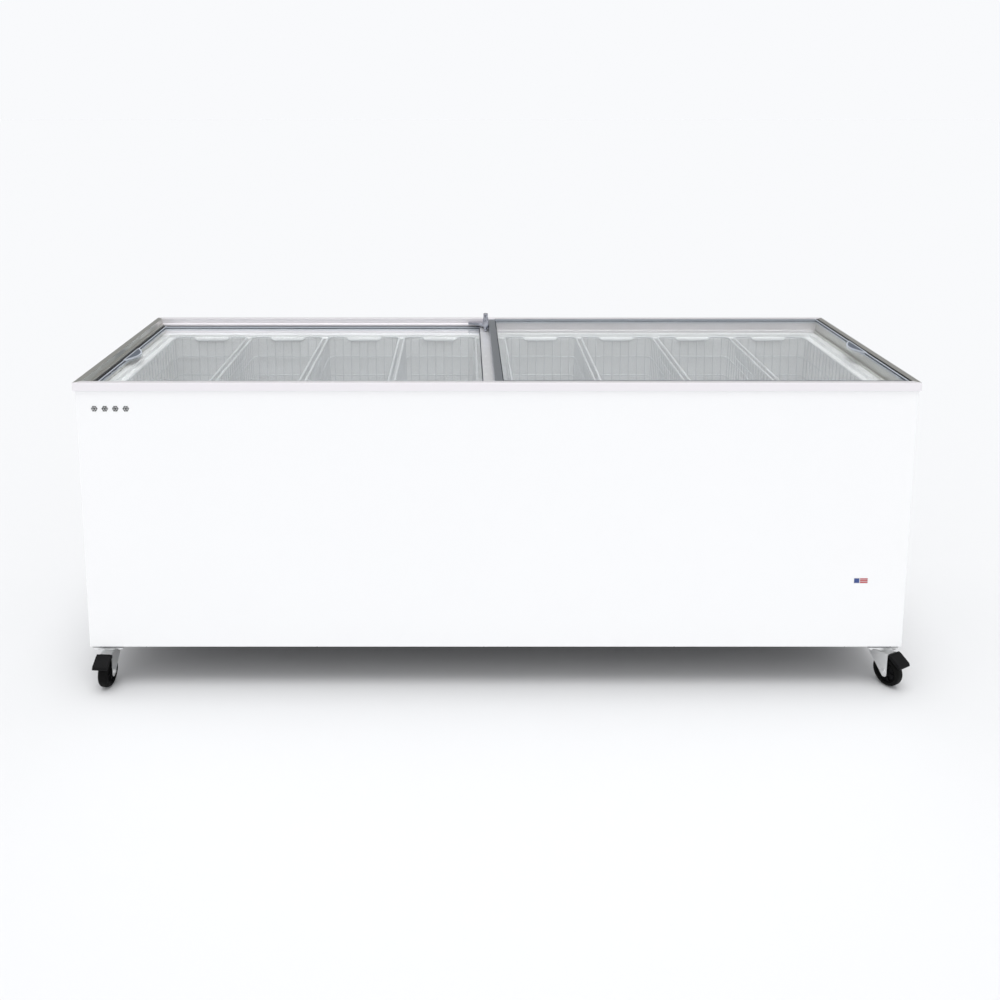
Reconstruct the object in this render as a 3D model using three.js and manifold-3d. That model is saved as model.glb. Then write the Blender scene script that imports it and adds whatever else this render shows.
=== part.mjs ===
// A chest freezer for a shop floor: an insulated cabinet with two sliding glass lids, hanging baskets,
// a machine compartment at one end and four braked swivel castors.
// Millimetres, +Z up. The origin is on the floor under the middle of the cabinet, X runs along the
// length with the machine compartment at +X, and the front faces -Y.
import * as THREE from "three";
import { mergeVertices } from "three/addons/utils/BufferGeometryUtils.js";
import Module from "manifold-3d";

const wasm = await Module();
wasm.setup();

// ---- Driving dimensions ----
const LENGTH = 2050; // over the top frame
const DEPTH = 700;
const FRAME_TOP = 796;
const GAP = 0.3; // between pieces that touch
const PAST = 2; // how far a cutter runs past the face it cuts

// Cabinet skin
const SKIN_INSET = 4; // from the top frame's face to the skin's
const SHEET = 0.8;
const SKIN_BOTTOM = 109;
const SKIN_TOP = 786;
const CORNER_RADIUS = 2;
const RETURN_LENGTH = 22; // how far the front and rear sheets wrap round the ends
const FLANGE = 15; // the fold along each sheet's lower edge
const PANEL_GAP = 1.4; // from the skin's face to the base pan
const FOAM_GAP = 2.2; // from the skin's face to the foam
const VENT = { from: 785, pitch: 14, slots: 8, width: 6, bottom: 180, top: 300 };
const BASE_RAIL = { half: 25, wall: 1.5, inset: 20 };
const SKIN_X = LENGTH / 2 - SKIN_INSET;
const SKIN_Y = DEPTH / 2 - SKIN_INSET;

// Top frame, as [distance in from its outer face, height]
const TRACK_1 = { edge: 16, floor: 780 }; // the upper lid's track
const TRACK_2 = { edge: 23, floor: 759 }; // the lower lid's track
const FRAME_WIDTH = 32;
const FRAME_BOTTOM = 752;
const FRAME_PROFILE = [
  [0, 775], [0, FRAME_TOP], [TRACK_1.edge, FRAME_TOP], [TRACK_1.edge, TRACK_1.floor],
  [TRACK_2.edge, TRACK_1.floor], [TRACK_2.edge, TRACK_2.floor], [FRAME_WIDTH, TRACK_2.floor],
  [FRAME_WIDTH, FRAME_BOTTOM], [5.5, FRAME_BOTTOM], [5.5, 786.4], [3.7, 786.4], [3.7, 775],
];
const FRAME_HOLLOW = [
  [7.5, 754], [30, 754], [30, 757], [21, 757], [21, 778], [14, 778], [14, 792], [7.5, 792],
];

// Tub, baskets and insulation
const LINER_SHEET = 1;
const TUB = { x: 962, y: 287, floor: 174, top: 742 }; // inside faces
const STEP = { x: 700, top: 395 }; // the raised floor over the machine compartment
const LEDGE = 14; // the shelf round the tub that the baskets hang from
const RIM_HEIGHT = 750.2; // where the liner turns outwards under the top frame
const COIL_GAP = 12; // room for the cold coil between liner and foam
const COMPARTMENT = { x: 750, top: 345 };
const BASKETS_PER_HALF = 4;
const BASKET_PITCH = 231;
const BASKET = { width: 221, depth: 564, bottom: 512, top: 750, sheet: 2, hook: 12, dip: 84 };
const RIM_REACH = 41; // how far the liner's rim reaches past the tub's walls
const DRAIN = { x: -860, radius: 10, head: 14, bottom: 160 };
const COLD_COIL = { turns: 5, top: 700, pitch: 52, bend: 6, radius: 3.5 };

// Lids
const LID_HEIGHT = 14;
const GLASS = 4;
const GLASS_RISE = 7; // the glass's underside above the lid's
const GLASS_BITE = 5; // how far the glass goes into its frame
const LID_EDGE = 10; // width of a runner
const END_WIDTH = 8; // width of the handle end
const GRIP = { from: -66, to: 60, reach: 24, rise: 1.2 };
const TRACK_PLAY = 0.8; // from a lid's edge to its track's wall
const RIGHT_LID = { side: 1, track: TRACK_1, stile: [-4, 15] };
const LEFT_LID = { side: -1, track: TRACK_2, stile: [-8, 31] };

// Lock
const LOCK = {
  x: -14.5,
  y: 262,
  bore: 7.3,
  lug: { left: -66, front: 240, rear: 330, tail: 12, thickness: 7 },
  sleeve: { foot: 9.2, tip: 7.9, top: 815 },
  button: { radius: 6.9, bottom: 786.5, top: 828.6 },
  pin: { radius: 4, bottom: 775.5 },
  core: { radius: 4, bottom: 820 },
  keyway: { width: 1.2, length: 5.2, depth: 3 },
};

// Castors
const CASTOR_X = 980;
const CASTOR_Y = 305;
const PLATE_TOP = 100.3;
const PLATE = { halfX: 38, halfY: 31, sheet: 3, boltX: 29, boltY: 22, boltRadius: 4.2 };
const RACE_RADIUS = 21;
const KINGPIN_RADIUS = 5.5;
const WHEEL_RADIUS = 37.5;
const WHEEL_WIDTH = 26;
const TRAIL = 32;
const AXLE_RADIUS = 4;
const FORK_TOP = 88.5;
const LEG_INSIDE = 14.5;
const LEG_SHEET = 2.2;
const NUT = { radius: 6.5, height: 3 };
const PEDAL_PIN = { u: 16, z: 81, radius: 2 };
const PEDAL = { armHalf: 12.8, treadHalf: 19 };
const FRONT_LEFT_TRAIL = -94; // degrees from +X
const FRONT_RIGHT_TRAIL = -60;

// Machine compartment
const GRILLE = {
  y: -15, z: 245, width: 210, height: 190, sheet: 3, slots: 9, pitch: 18, slot: 8, edge: 18, lowest: -80,
};
const THERMOSTAT = { y: 200, z: 300, bezel: 24, bezelSheet: 2.5, knob: 15, shaft: 4 };
const FAN = { y: -15, z: 240, motor: 900, can: 30, canLength: 35, shaft: 3, hub: 14, tip: 76, bladeAt: 57 };
const COMPRESSOR = {
  x: 850, y: 190, radius: 75, top: 290, dome: 40, wall: 5, halfX: 90, halfY: 60, lift: 20,
};
const WARM_COIL = { x: 990, passes: 6, spacing: 28, reach: 85, radius: 3 };
const GLAND = { x: 940, z: 150, collar: 14, spout: 8.4, bore: 4.5 };
const PAN_BOTTOM = 110.1;
const PAN_TOP = PAN_BOTTOM + SHEET;

// ---- Geometry helpers ----
const AXIS_X = new THREE.Vector3(1, 0, 0);
const AXIS_Y = new THREE.Vector3(0, 1, 0);
const AXIS_Z = new THREE.Vector3(0, 0, 1);

function extruded(points, length, holes = []) {
  const shape = new THREE.Shape(points.map(([a, b]) => new THREE.Vector2(a, b)));
  shape.holes = holes.map((hole) => new THREE.Path(hole.map(([a, b]) => new THREE.Vector2(a, b))));
  return new THREE.ExtrudeGeometry(shape, { depth: length, bevelEnabled: false, steps: 1 });
}

// Outlines are [y, z] along X, [x, z] along Y and [x, y] along Z.
function alongX(points, from, to, holes) {
  const basis = new THREE.Matrix4().makeBasis(AXIS_Y, AXIS_Z, AXIS_X);
  return extruded(points, to - from, holes).applyMatrix4(basis).translate(from, 0, 0);
}

function alongY(points, from, to, holes) {
  const basis = new THREE.Matrix4().makeBasis(AXIS_X, AXIS_Z, AXIS_Y.clone().negate());
  return extruded(points, to - from, holes).applyMatrix4(basis).translate(0, to, 0);
}

function alongZ(points, from, to, holes) {
  return extruded(points, to - from, holes).translate(0, 0, from);
}

function box([x0, x1], [y0, y1], [z0, z1]) {
  const geometry = new THREE.BoxGeometry(Math.abs(x1 - x0), Math.abs(y1 - y0), Math.abs(z1 - z0));
  return geometry.translate((x0 + x1) / 2, (y0 + y1) / 2, (z0 + z1) / 2);
}

function arc(a, b, radius, fromDegrees, toDegrees, steps) {
  return Array.from({ length: steps + 1 }, (_, i) => {
    const angle = THREE.MathUtils.degToRad(fromDegrees + ((toDegrees - fromDegrees) * i) / steps);
    return [a + radius * Math.cos(angle), b + radius * Math.sin(angle)];
  });
}

function circle(a, b, radius, sides) {
  return arc(a, b, radius, 0, 360, sides).slice(0, sides);
}

// A profile of [radius, height] turned about the Z axis.
function turned(profile, sides) {
  const points = profile.map(([r, z]) => new THREE.Vector2(r, z));
  return new THREE.LatheGeometry(points, sides).rotateX(Math.PI / 2);
}

function solidOf(geometry) {
  const bare = geometry.clone();
  bare.deleteAttribute("normal");
  bare.deleteAttribute("uv");
  const merged = mergeVertices(bare, 1e-4);
  const vertProperties = merged.attributes.position.array;
  const triVerts = new Uint32Array(merged.index.array);
  return new wasm.Manifold(new wasm.Mesh({ numProp: 3, vertProperties, triVerts }));
}

function geometryOf(solid) {
  const mesh = solid.getMesh();
  const geometry = new THREE.BufferGeometry();
  geometry.setAttribute("position", new THREE.BufferAttribute(mesh.vertProperties, 3));
  geometry.setIndex(new THREE.BufferAttribute(mesh.triVerts, 1));
  geometry.computeVertexNormals();
  return geometry;
}

function joined(...geometries) {
  return geometryOf(geometries.map(solidOf).reduce((whole, piece) => whole.add(piece)));
}

function cut(geometry, ...cutters) {
  return geometryOf(cutters.map(solidOf).reduce((rest, cutter) => rest.subtract(cutter), solidOf(geometry)));
}

// A path through given points, with one step of the extrusion from each point to the next.
class Route extends THREE.Curve {
  constructor(points) {
    super();
    this.points = points;
  }

  getPointAt(t, target = new THREE.Vector3()) {
    return target.copy(this.points[Math.round(t * (this.points.length - 1))]);
  }

  getTangentAt(t, target = new THREE.Vector3()) {
    const last = this.points.length - 1;
    const i = Math.round(t * last);
    const before = this.points[Math.max(i - 1, 0)];
    const after = this.points[Math.min(i + 1, last)];
    return target.copy(after).sub(before).normalize();
  }
}

function tube(points, radius, sides) {
  const section = new THREE.Shape(circle(0, 0, radius, sides).map(([a, b]) => new THREE.Vector2(a, b)));
  return new THREE.ExtrudeGeometry(section, { steps: points.length - 1, extrudePath: new Route(points) });
}

// ---- Materials ----
function finish(color, roughness, metalness) {
  return () => new THREE.MeshStandardMaterial({ color, roughness, metalness });
}

const whitePaint = finish(0xf8f8f9, 0.4, 0.05);
const frameMetal = finish(0xc9c6c9, 0.35, 0.8);
const lidPlastic = finish(0xb4bac4, 0.4, 0.1);
const stileMetal = finish(0xc4c6cc, 0.25, 0.9);
const linerMetal = finish(0xe6e8ec, 0.5, 0.2);
const foam = finish(0xe8dcb0, 0.95, 0);
const zinc = finish(0xc6c8c8, 0.35, 0.9);
const chrome = finish(0xd8d8da, 0.12, 1);
const blackRubber = finish(0x111111, 0.7, 0);
const blackPlastic = finish(0x161616, 0.5, 0);
const copper = finish(0xb8744a, 0.4, 0.9);
const blackPaint = finish(0x1c1c1e, 0.45, 0.3);
const greyPlastic = finish(0xd0d0d0, 0.5, 0);
const coatedWire = finish(0xf2f3f5, 0.4, 0.1);

function glassMaterial() {
  return new THREE.MeshStandardMaterial({
    color: 0xdfeeea, roughness: 0.05, transparent: true, opacity: 0.3,
  });
}

const freezer = new THREE.Group();

function add(name, geometry, material, parent = freezer) {
  const mesh = new THREE.Mesh(geometry, material());
  mesh.name = name;
  parent.add(mesh);
  return mesh;
}

// ---- Cabinet skin ----
// The front sheet: it wraps round both front corners and folds in along the bottom.
function wrappedSheet() {
  const cornerX = SKIN_X - CORNER_RADIUS;
  const cornerY = -SKIN_Y + CORNER_RADIUS;
  const end = -SKIN_Y + RETURN_LENGTH;
  const inner = CORNER_RADIUS - SHEET;
  const section = [
    [-SKIN_X, end],
    ...arc(-cornerX, cornerY, CORNER_RADIUS, 180, 270, 3),
    ...arc(cornerX, cornerY, CORNER_RADIUS, 270, 360, 3),
    [SKIN_X, end],
    [SKIN_X - SHEET, end],
    ...arc(cornerX, cornerY, inner, 360, 270, 3),
    ...arc(-cornerX, cornerY, inner, 270, 180, 3),
    [-SKIN_X + SHEET, end],
  ];
  const flangeX = SKIN_X - FLANGE - PAST;
  const flange = box(
    [-flangeX, flangeX], [-SKIN_Y + SHEET / 2, -SKIN_Y + FLANGE], [SKIN_BOTTOM, SKIN_BOTTOM + SHEET],
  );
  return joined(alongZ(section, SKIN_BOTTOM, SKIN_TOP), flange);
}

// The rear sheet is the front one turned round, with a row of vent slots and the cord's hole.
function rearSheet() {
  const across = [SKIN_Y - PAST, SKIN_Y + PAST];
  const slots = Array.from({ length: VENT.slots }, (_, i) => {
    const x = VENT.from + VENT.pitch * i;
    return box([x, x + VENT.width], across, [VENT.bottom, VENT.top]);
  });
  const cordHole = alongY(circle(GLAND.x, GLAND.z, GLAND.spout + 0.6, 12), ...across);
  return cut(wrappedSheet().rotateZ(Math.PI), ...slots, cordHole);
}

// An end sheet, made for the +X end.
function endSheet() {
  const reach = SKIN_Y - RETURN_LENGTH - GAP;
  const wall = box([SKIN_X - SHEET, SKIN_X], [-reach, reach], [SKIN_BOTTOM, SKIN_TOP]);
  const flange = box(
    [SKIN_X - FLANGE, SKIN_X - SHEET / 2], [-reach, reach], [SKIN_BOTTOM, SKIN_BOTTOM + SHEET],
  );
  return joined(wall, flange);
}

// The end sheet over the machine compartment, open behind the grille and the thermostat.
function machineEndSheet() {
  const across = [SKIN_X - PAST, SKIN_X + PAST];
  const margin = 10;
  const opening = box(
    across,
    [GRILLE.y - GRILLE.width / 2 + margin, GRILLE.y + GRILLE.width / 2 - margin],
    [GRILLE.z - GRILLE.height / 2 + margin, GRILLE.z + GRILLE.height / 2 - margin],
  );
  const shaftHole = alongX(circle(THERMOSTAT.y, THERMOSTAT.z, 2 * THERMOSTAT.shaft, 12), ...across);
  return cut(endSheet(), opening, shaftHole);
}

function basePan() {
  const reachX = SKIN_X - PANEL_GAP;
  const reachY = SKIN_Y - PANEL_GAP;
  const pan = box([-reachX, reachX], [-reachY, reachY], [PAN_BOTTOM, PAN_TOP]);
  return cut(pan, alongZ(circle(DRAIN.x, 0, DRAIN.radius + 2, 16), PAN_BOTTOM - PAST, PAN_TOP + PAST));
}

// A steel channel, open downwards, that carries the castors.
function baseRail(y) {
  const { half, wall, inset } = BASE_RAIL;
  const top = PAN_BOTTOM - GAP;
  const bottom = PLATE_TOP + GAP;
  const inside = half - wall;
  const section = [
    [y - half, bottom], [y - half, top], [y + half, top], [y + half, bottom],
    [y + inside, bottom], [y + inside, top - wall], [y - inside, top - wall], [y - inside, bottom],
  ];
  return alongX(section, -SKIN_X + inset, SKIN_X - inset);
}

function addSkin() {
  add("front_panel", wrappedSheet(), whitePaint);
  add("rear_panel", rearSheet(), whitePaint);
  add("left_panel", endSheet().rotateZ(Math.PI), whitePaint);
  add("right_panel", machineEndSheet(), whitePaint);
  add("base_pan", basePan(), zinc);
  add("base_rail_front", baseRail(-CASTOR_Y), zinc);
  add("base_rail_rear", baseRail(CASTOR_Y), zinc);
}

// ---- Top frame ----
// A hollow extrusion with mitred ends: the further in from the outer face, the shorter it is.
function topRail(length, offset) {
  const rail = alongX(FRAME_PROFILE, -1, 1, [FRAME_HOLLOW]);
  const position = rail.attributes.position;
  for (let i = 0; i < position.count; i += 1) {
    const inward = position.getY(i);
    position.setX(i, Math.sign(position.getX(i)) * (length / 2 - inward - GAP / 2));
  }
  return rail.translate(0, -offset, 0);
}

function addTopFrame() {
  add("top_rail_front", topRail(LENGTH, DEPTH / 2), frameMetal);
  add("top_rail_right", topRail(DEPTH, LENGTH / 2).rotateZ(Math.PI / 2), frameMetal);
  add("top_rail_rear", topRail(LENGTH, DEPTH / 2).rotateZ(Math.PI), frameMetal);
  add("top_rail_left", topRail(DEPTH, LENGTH / 2).rotateZ(-Math.PI / 2), frameMetal);
}

// ---- Tub, insulation and cold coil ----
// The stepped tub grown outwards by a wall: its side view, extruded across the cabinet.
function tubBlock(grow, top) {
  const outline = [
    [-TUB.x - grow, TUB.floor - grow],
    [STEP.x + grow, TUB.floor - grow],
    [STEP.x + grow, STEP.top - grow],
    [TUB.x + grow, STEP.top - grow],
    [TUB.x + grow, top],
    [-TUB.x - grow, top],
  ];
  return alongY(outline, -TUB.y - grow, TUB.y + grow);
}

// A block centred on the tub that reaches the given distance past its walls.
function centredBlock(reach, bottom, top) {
  return box([-TUB.x - reach, TUB.x + reach], [-TUB.y - reach, TUB.y + reach], [bottom, top]);
}

function liner() {
  const ledge = centredBlock(LEDGE + LINER_SHEET, TUB.top - LINER_SHEET, RIM_HEIGHT + LINER_SHEET);
  const rim = centredBlock(RIM_REACH, RIM_HEIGHT, RIM_HEIGHT + LINER_SHEET);
  const inside = tubBlock(0, RIM_HEIGHT + LINER_SHEET + PAST);
  const aboveLedge = centredBlock(LEDGE, TUB.top, RIM_HEIGHT + LINER_SHEET + PAST);
  const drain = alongZ(circle(DRAIN.x, 0, DRAIN.radius + 0.5, 16), TUB.floor - PAST, TUB.floor + PAST);
  return cut(joined(tubBlock(LINER_SHEET, TUB.top), ledge, rim), inside, aboveLedge, drain);
}

function insulation() {
  const reachX = SKIN_X - FOAM_GAP;
  const reachY = SKIN_Y - FOAM_GAP;
  const block = box([-reachX, reachX], [-reachY, reachY], [PAN_TOP + GAP, RIM_HEIGHT - GAP]);
  const tub = tubBlock(COIL_GAP + LINER_SHEET, FRAME_TOP);
  const shelf = centredBlock(LEDGE + LINER_SHEET + GAP, TUB.top - LINER_SHEET - GAP, FRAME_TOP);
  const machines = box([COMPARTMENT.x, LENGTH], [-DEPTH, DEPTH], [0, COMPARTMENT.top]);
  const drain = alongZ(circle(DRAIN.x, 0, DRAIN.radius + 3, 16), 0, TUB.floor);
  return cut(block, tub, shelf, machines, drain);
}

// The cold coil winds round the tub between liner and foam.
function coldCoil() {
  const { turns, top, pitch, bend, radius } = COLD_COIL;
  const x = TUB.x + LINER_SHEET + COIL_GAP / 2;
  const y = TUB.y + LINER_SHEET + COIL_GAP / 2;
  const corners = [
    [x - bend, y - bend, 0], [-x + bend, y - bend, 90],
    [-x + bend, -y + bend, 180], [x - bend, -y + bend, 270],
  ];
  const points = [];
  for (let turn = 0; turn < turns; turn += 1) {
    corners.forEach(([a, b, from], corner) => {
      const height = top - pitch * (turn + corner / corners.length);
      for (const [u, v] of arc(a, b, bend, from, from + 90, 3)) {
        points.push(new THREE.Vector3(u, v, height));
      }
    });
  }
  return tube(points, radius, 6);
}

function drainPlug() {
  const headBottom = TUB.floor + GAP;
  const headTop = TUB.floor + 4;
  const profile = [
    [0, DRAIN.bottom], [DRAIN.radius, DRAIN.bottom], [DRAIN.radius, headBottom],
    [DRAIN.head, headBottom], [DRAIN.head, headTop], [0, headTop],
  ];
  return turned(profile, 20).translate(DRAIN.x, 0, 0);
}

function addTub() {
  add("liner", liner(), linerMetal);
  add("insulation_foam", insulation(), foam);
  add("evaporator_coil", coldCoil(), copper);
  add("drain_plug", drainPlug(), greyPlastic);
}

// ---- Baskets ----
// An open basket whose hooks rest on the tub's ledge and whose ends dip in the middle.
function basket(x) {
  const { width, depth, bottom, top, sheet, hook, dip } = BASKET;
  const half = width / 2;
  const hookBottom = TUB.top + GAP;
  const hookTop = hookBottom + sheet;
  const body = box([-half, half], [-depth / 2, depth / 2], [bottom, top]);
  const hooks = box([-half, half], [-depth / 2 - hook, depth / 2 + hook], [hookBottom, hookTop]);
  const insideX = half - sheet;
  const insideY = depth / 2 - sheet;
  const inside = box([-insideX, insideX], [-insideY, insideY], [bottom + sheet, top + PAST]);
  const dips = box([-dip / 2, dip / 2], [-depth, depth], [hookTop, top + PAST]);
  return cut(joined(body, hooks), inside, dips).translate(x, 0, 0);
}

function addBaskets() {
  const centreGap = 2 * (TUB.x - 1) - 2 * BASKETS_PER_HALF * BASKET_PITCH;
  for (let i = 0; i < BASKETS_PER_HALF; i += 1) {
    const x = centreGap / 2 + BASKET_PITCH * (i + 0.5);
    add(`basket_left_${i + 1}`, basket(-x), coatedWire);
    add(`basket_right_${i + 1}`, basket(x), coatedWire);
  }
}

// ---- Lids ----
// Distances along X are measured from the middle towards the lid's own end of the cabinet.
function lidSizes({ side, track, stile }) {
  const bottom = track.floor + GAP;
  const glassBottom = bottom + GLASS_RISE;
  return {
    side,
    stile,
    bottom,
    top: bottom + LID_HEIGHT,
    glassBottom,
    glassTop: glassBottom + GLASS,
    end: LENGTH / 2 - track.edge - TRACK_PLAY,
    halfWidth: DEPTH / 2 - track.edge - TRACK_PLAY,
  };
}

// A strip's section with a groove for the glass along its inner edge.
function groovedSection(outer, inner, lid) {
  const towards = Math.sign(inner - outer);
  const grooveEnd = inner - towards * (GLASS_BITE + GAP);
  return [
    [outer, lid.bottom], [inner, lid.bottom],
    [inner, lid.glassBottom - GAP], [grooveEnd, lid.glassBottom - GAP],
    [grooveEnd, lid.glassTop + GAP], [inner, lid.glassTop + GAP],
    [inner, lid.top], [outer, lid.top],
  ];
}

function stile(lid) {
  const [outer, inner] = lid.stile.map((distance) => lid.side * distance);
  return alongY(groovedSection(outer, inner, lid), -lid.halfWidth, lid.halfWidth);
}

function runner(lid, facing) {
  const section = groovedSection(facing * lid.halfWidth, facing * (lid.halfWidth - LID_EDGE), lid);
  const ends = [lid.side * (lid.stile[1] + GAP), lid.side * (lid.end - END_WIDTH - GAP)];
  return alongX(section, Math.min(...ends), Math.max(...ends));
}

// The end strip swells into a finger grip halfway along.
function handleEnd(lid) {
  const outer = lid.side * lid.end;
  const inner = lid.side * (lid.end - END_WIDTH);
  const strip = alongY(groovedSection(outer, inner, lid), -lid.halfWidth, lid.halfWidth);
  const steps = 12;
  const bulge = Array.from({ length: steps + 1 }, (_, i) => [
    inner - lid.side * GRIP.reach * Math.sin((Math.PI * i) / steps),
    GRIP.from + ((GRIP.to - GRIP.from) * i) / steps,
  ]);
  const root = lid.side * (lid.end - END_WIDTH / 2);
  const gripOutline = [[root, GRIP.from], ...bulge, [root, GRIP.to]];
  const grip = alongZ(gripOutline, lid.glassTop + GAP, lid.top + GRIP.rise);
  return joined(strip, grip);
}

function glassPane(lid) {
  const from = lid.side * (lid.stile[1] - GLASS_BITE);
  const to = lid.side * (lid.end - END_WIDTH + GLASS_BITE);
  const reach = lid.halfWidth - LID_EDGE + GLASS_BITE;
  return box([from, to], [-reach, reach], [lid.glassBottom, lid.glassTop]);
}

function addLid(name, sizes, boltHole) {
  const lid = lidSizes(sizes);
  add(`${name}_glass`, glassPane(lid), glassMaterial);
  add(`${name}_stile`, boltHole ? cut(stile(lid), boltHole) : stile(lid), stileMetal);
  add(`${name}_handle_end`, handleEnd(lid), lidPlastic);
  add(`${name}_front_runner`, runner(lid, -1), lidPlastic);
  add(`${name}_rear_runner`, runner(lid, 1), lidPlastic);
}

// ---- Lock ----
// A lug on the right lid's stile reaches over the left lid. Pressing the plunger sends its pin through
// the lug into a hole in the left lid's stile, and the key core lets it up again.
function lockHousing() {
  const { lug, sleeve } = LOCK;
  const bottom = TRACK_1.floor + 2 * GAP;
  const lugTop = bottom + lug.thickness;
  const right = RIGHT_LID.stile[0] - GAP;
  const steps = 6;
  const fillet = Array.from({ length: steps + 1 }, (_, i) => {
    const angle = (Math.PI / 2) * (i / steps);
    return [
      lug.left + (right - lug.left) * Math.sin(angle),
      lug.front + (lug.rear - lug.tail - lug.front) * Math.cos(angle),
    ];
  });
  const plate = alongZ([[right, lug.rear], [lug.left, lug.rear], ...fillet], bottom, lugTop);
  const profile = [
    [0, bottom + 1], [sleeve.foot, bottom + 1], [sleeve.foot, lugTop + 2],
    [sleeve.tip, sleeve.top], [0, sleeve.top],
  ];
  const column = turned(profile, 24).translate(LOCK.x, LOCK.y, 0);
  const bore = alongZ(circle(LOCK.x, LOCK.y, LOCK.bore, 24), bottom - PAST, sleeve.top + PAST);
  return cut(joined(plate, column), bore);
}

// A pin below, a button with a rounded crown above, and a socket for the key core in its top.
function lockPlunger() {
  const { pin, button, core } = LOCK;
  const socket = core.radius + GAP;
  const profile = [
    [0, pin.bottom], [pin.radius, pin.bottom], [pin.radius, button.bottom],
    [button.radius, button.bottom], [button.radius, button.top - 4.6],
    [button.radius - 0.7, button.top - 1.6], [button.radius - 2, button.top],
    [socket, button.top], [socket, core.bottom], [0, core.bottom],
  ];
  return turned(profile, 24).translate(LOCK.x, LOCK.y, 0);
}

function lockCore() {
  const { button, core, keyway } = LOCK;
  const bottom = core.bottom + GAP;
  const top = button.top + GAP;
  const disc = turned([[0, bottom], [core.radius, bottom], [core.radius, top], [0, top]], 24);
  const slot = box(
    [-keyway.width / 2, keyway.width / 2], [-keyway.length / 2, keyway.length / 2],
    [top - keyway.depth, top + PAST],
  );
  return cut(disc, slot).translate(LOCK.x, LOCK.y, 0);
}

function addLidsAndLock() {
  const leftTop = TRACK_2.floor + GAP + LID_HEIGHT;
  const boltHole = alongZ(
    circle(LOCK.x, LOCK.y, LOCK.pin.radius + 0.7, 16), TRACK_2.floor - PAST, leftTop + PAST,
  );
  addLid("left_lid", LEFT_LID, boltHole);
  addLid("right_lid", RIGHT_LID);
  add("lock_housing", lockHousing(), chrome);
  add("lock_plunger", lockPlunger(), chrome);
  add("lock_core", lockCore(), chrome);
}

// ---- Machine compartment ----
function compressorShell() {
  const { radius, top, dome, wall, halfX, halfY, lift } = COMPRESSOR;
  const foot = PAN_TOP + GAP;
  const domeOuter = arc(radius - dome, top - dome, dome, 0, 90, 4);
  const domeInner = arc(radius - dome, top - dome, dome - wall, 90, 0, 4);
  const profile = [
    [radius, foot + lift], ...domeOuter, [0, top],
    [0, top - wall], ...domeInner, [radius - wall, foot + lift],
  ];
  const shell = turned([...profile, profile[0]], 28);
  const plate = box([-halfX, halfX], [-halfY, halfY], [foot + lift - 3, foot + lift + wall]);
  const feet = [[-1, -1], [1, -1], [-1, 1], [1, 1]].map(([a, b]) => (
    alongZ(circle(a * (halfX - 20), b * (halfY - 15), 10, 10), foot, foot + lift - 2)
  ));
  const access = alongZ(circle(0, 0, radius - 20, 20), foot, foot + 2 * lift);
  return cut(joined(shell, plate, ...feet), access).translate(COMPRESSOR.x, COMPRESSOR.y, 0);
}

// The warm coil zigzags behind the grille.
function warmCoil() {
  const { x, passes, spacing, reach, radius } = WARM_COIL;
  const points = [];
  for (let i = 0; i < passes; i += 1) {
    const facing = i % 2 ? -1 : 1;
    const z = GRILLE.z - (spacing * (passes - 1)) / 2 + spacing * i;
    points.push(new THREE.Vector3(x, GRILLE.y - facing * reach, z));
    if (i === passes - 1) {
      points.push(new THREE.Vector3(x, GRILLE.y + facing * reach, z));
      break;
    }
    for (const [a, b] of arc(0, z + spacing / 2, spacing / 2, -90, 90, 4).slice(0, -1)) {
      points.push(new THREE.Vector3(x, GRILLE.y + facing * (reach + a), b));
    }
  }
  return tube(points, radius, 6);
}

function fanMotor() {
  const { y, z, motor, can, canLength, shaft, bladeAt } = FAN;
  const body = alongX(circle(y, z, can, 20), motor, motor + canLength);
  const spindle = alongX(circle(y, z, shaft, 10), motor + canLength - 5, motor + bladeAt + 9);
  const stand = box([motor + 12, motor + 15], [y - can - 5, y + can + 5], [PAN_TOP + GAP, z]);
  return joined(body, spindle, stand);
}

function fanBlade() {
  const blades = 5;
  const pitch = THREE.MathUtils.degToRad(60);
  const hub = alongX(circle(0, 0, FAN.hub, 20), -8, 8);
  const blade = () => box([-1, 1], [-20, 20], [FAN.hub - 4, FAN.tip]).rotateZ(pitch);
  const all = Array.from({ length: blades }, (_, i) => blade().rotateX((2 * Math.PI * i) / blades));
  const bore = alongX(circle(0, 0, FAN.shaft + 0.4, 10), -30, 30);
  return cut(joined(hub, ...all), bore).translate(FAN.motor + FAN.bladeAt, FAN.y, FAN.z);
}

function grillePlate() {
  const { y, z, width, height, sheet, slots, pitch, slot, edge, lowest } = GRILLE;
  const back = SKIN_X + GAP;
  const plate = box([back, back + sheet], [y - width / 2, y + width / 2], [z - height / 2, z + height / 2]);
  const cutters = Array.from({ length: slots }, (_, i) => {
    const bottom = z + lowest + pitch * i;
    const across = [y - width / 2 + edge, y + width / 2 - edge];
    return box([back - PAST, back + sheet + PAST], across, [bottom, bottom + slot]);
  });
  return cut(plate, ...cutters);
}

function thermostatBezel() {
  const { y, z, bezel, bezelSheet, shaft } = THERMOSTAT;
  const back = SKIN_X + GAP;
  return alongX(circle(y, z, bezel, 28), back, back + bezelSheet, [circle(y, z, shaft + 2, 12)]);
}

function thermostatKnob() {
  const { y, z, bezelSheet, knob, shaft } = THERMOSTAT;
  const back = SKIN_X + 2 * GAP + bezelSheet;
  const disc = alongX(circle(y, z, knob, 28), back, back + 5);
  const wing = box([back + 4, back + 10], [y - 3, y + 3], [z - knob + 1, z + knob - 1]);
  const spindle = alongX(circle(y, z, shaft, 12), SKIN_X - 20, back + 1);
  return joined(disc, wing, spindle);
}

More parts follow.
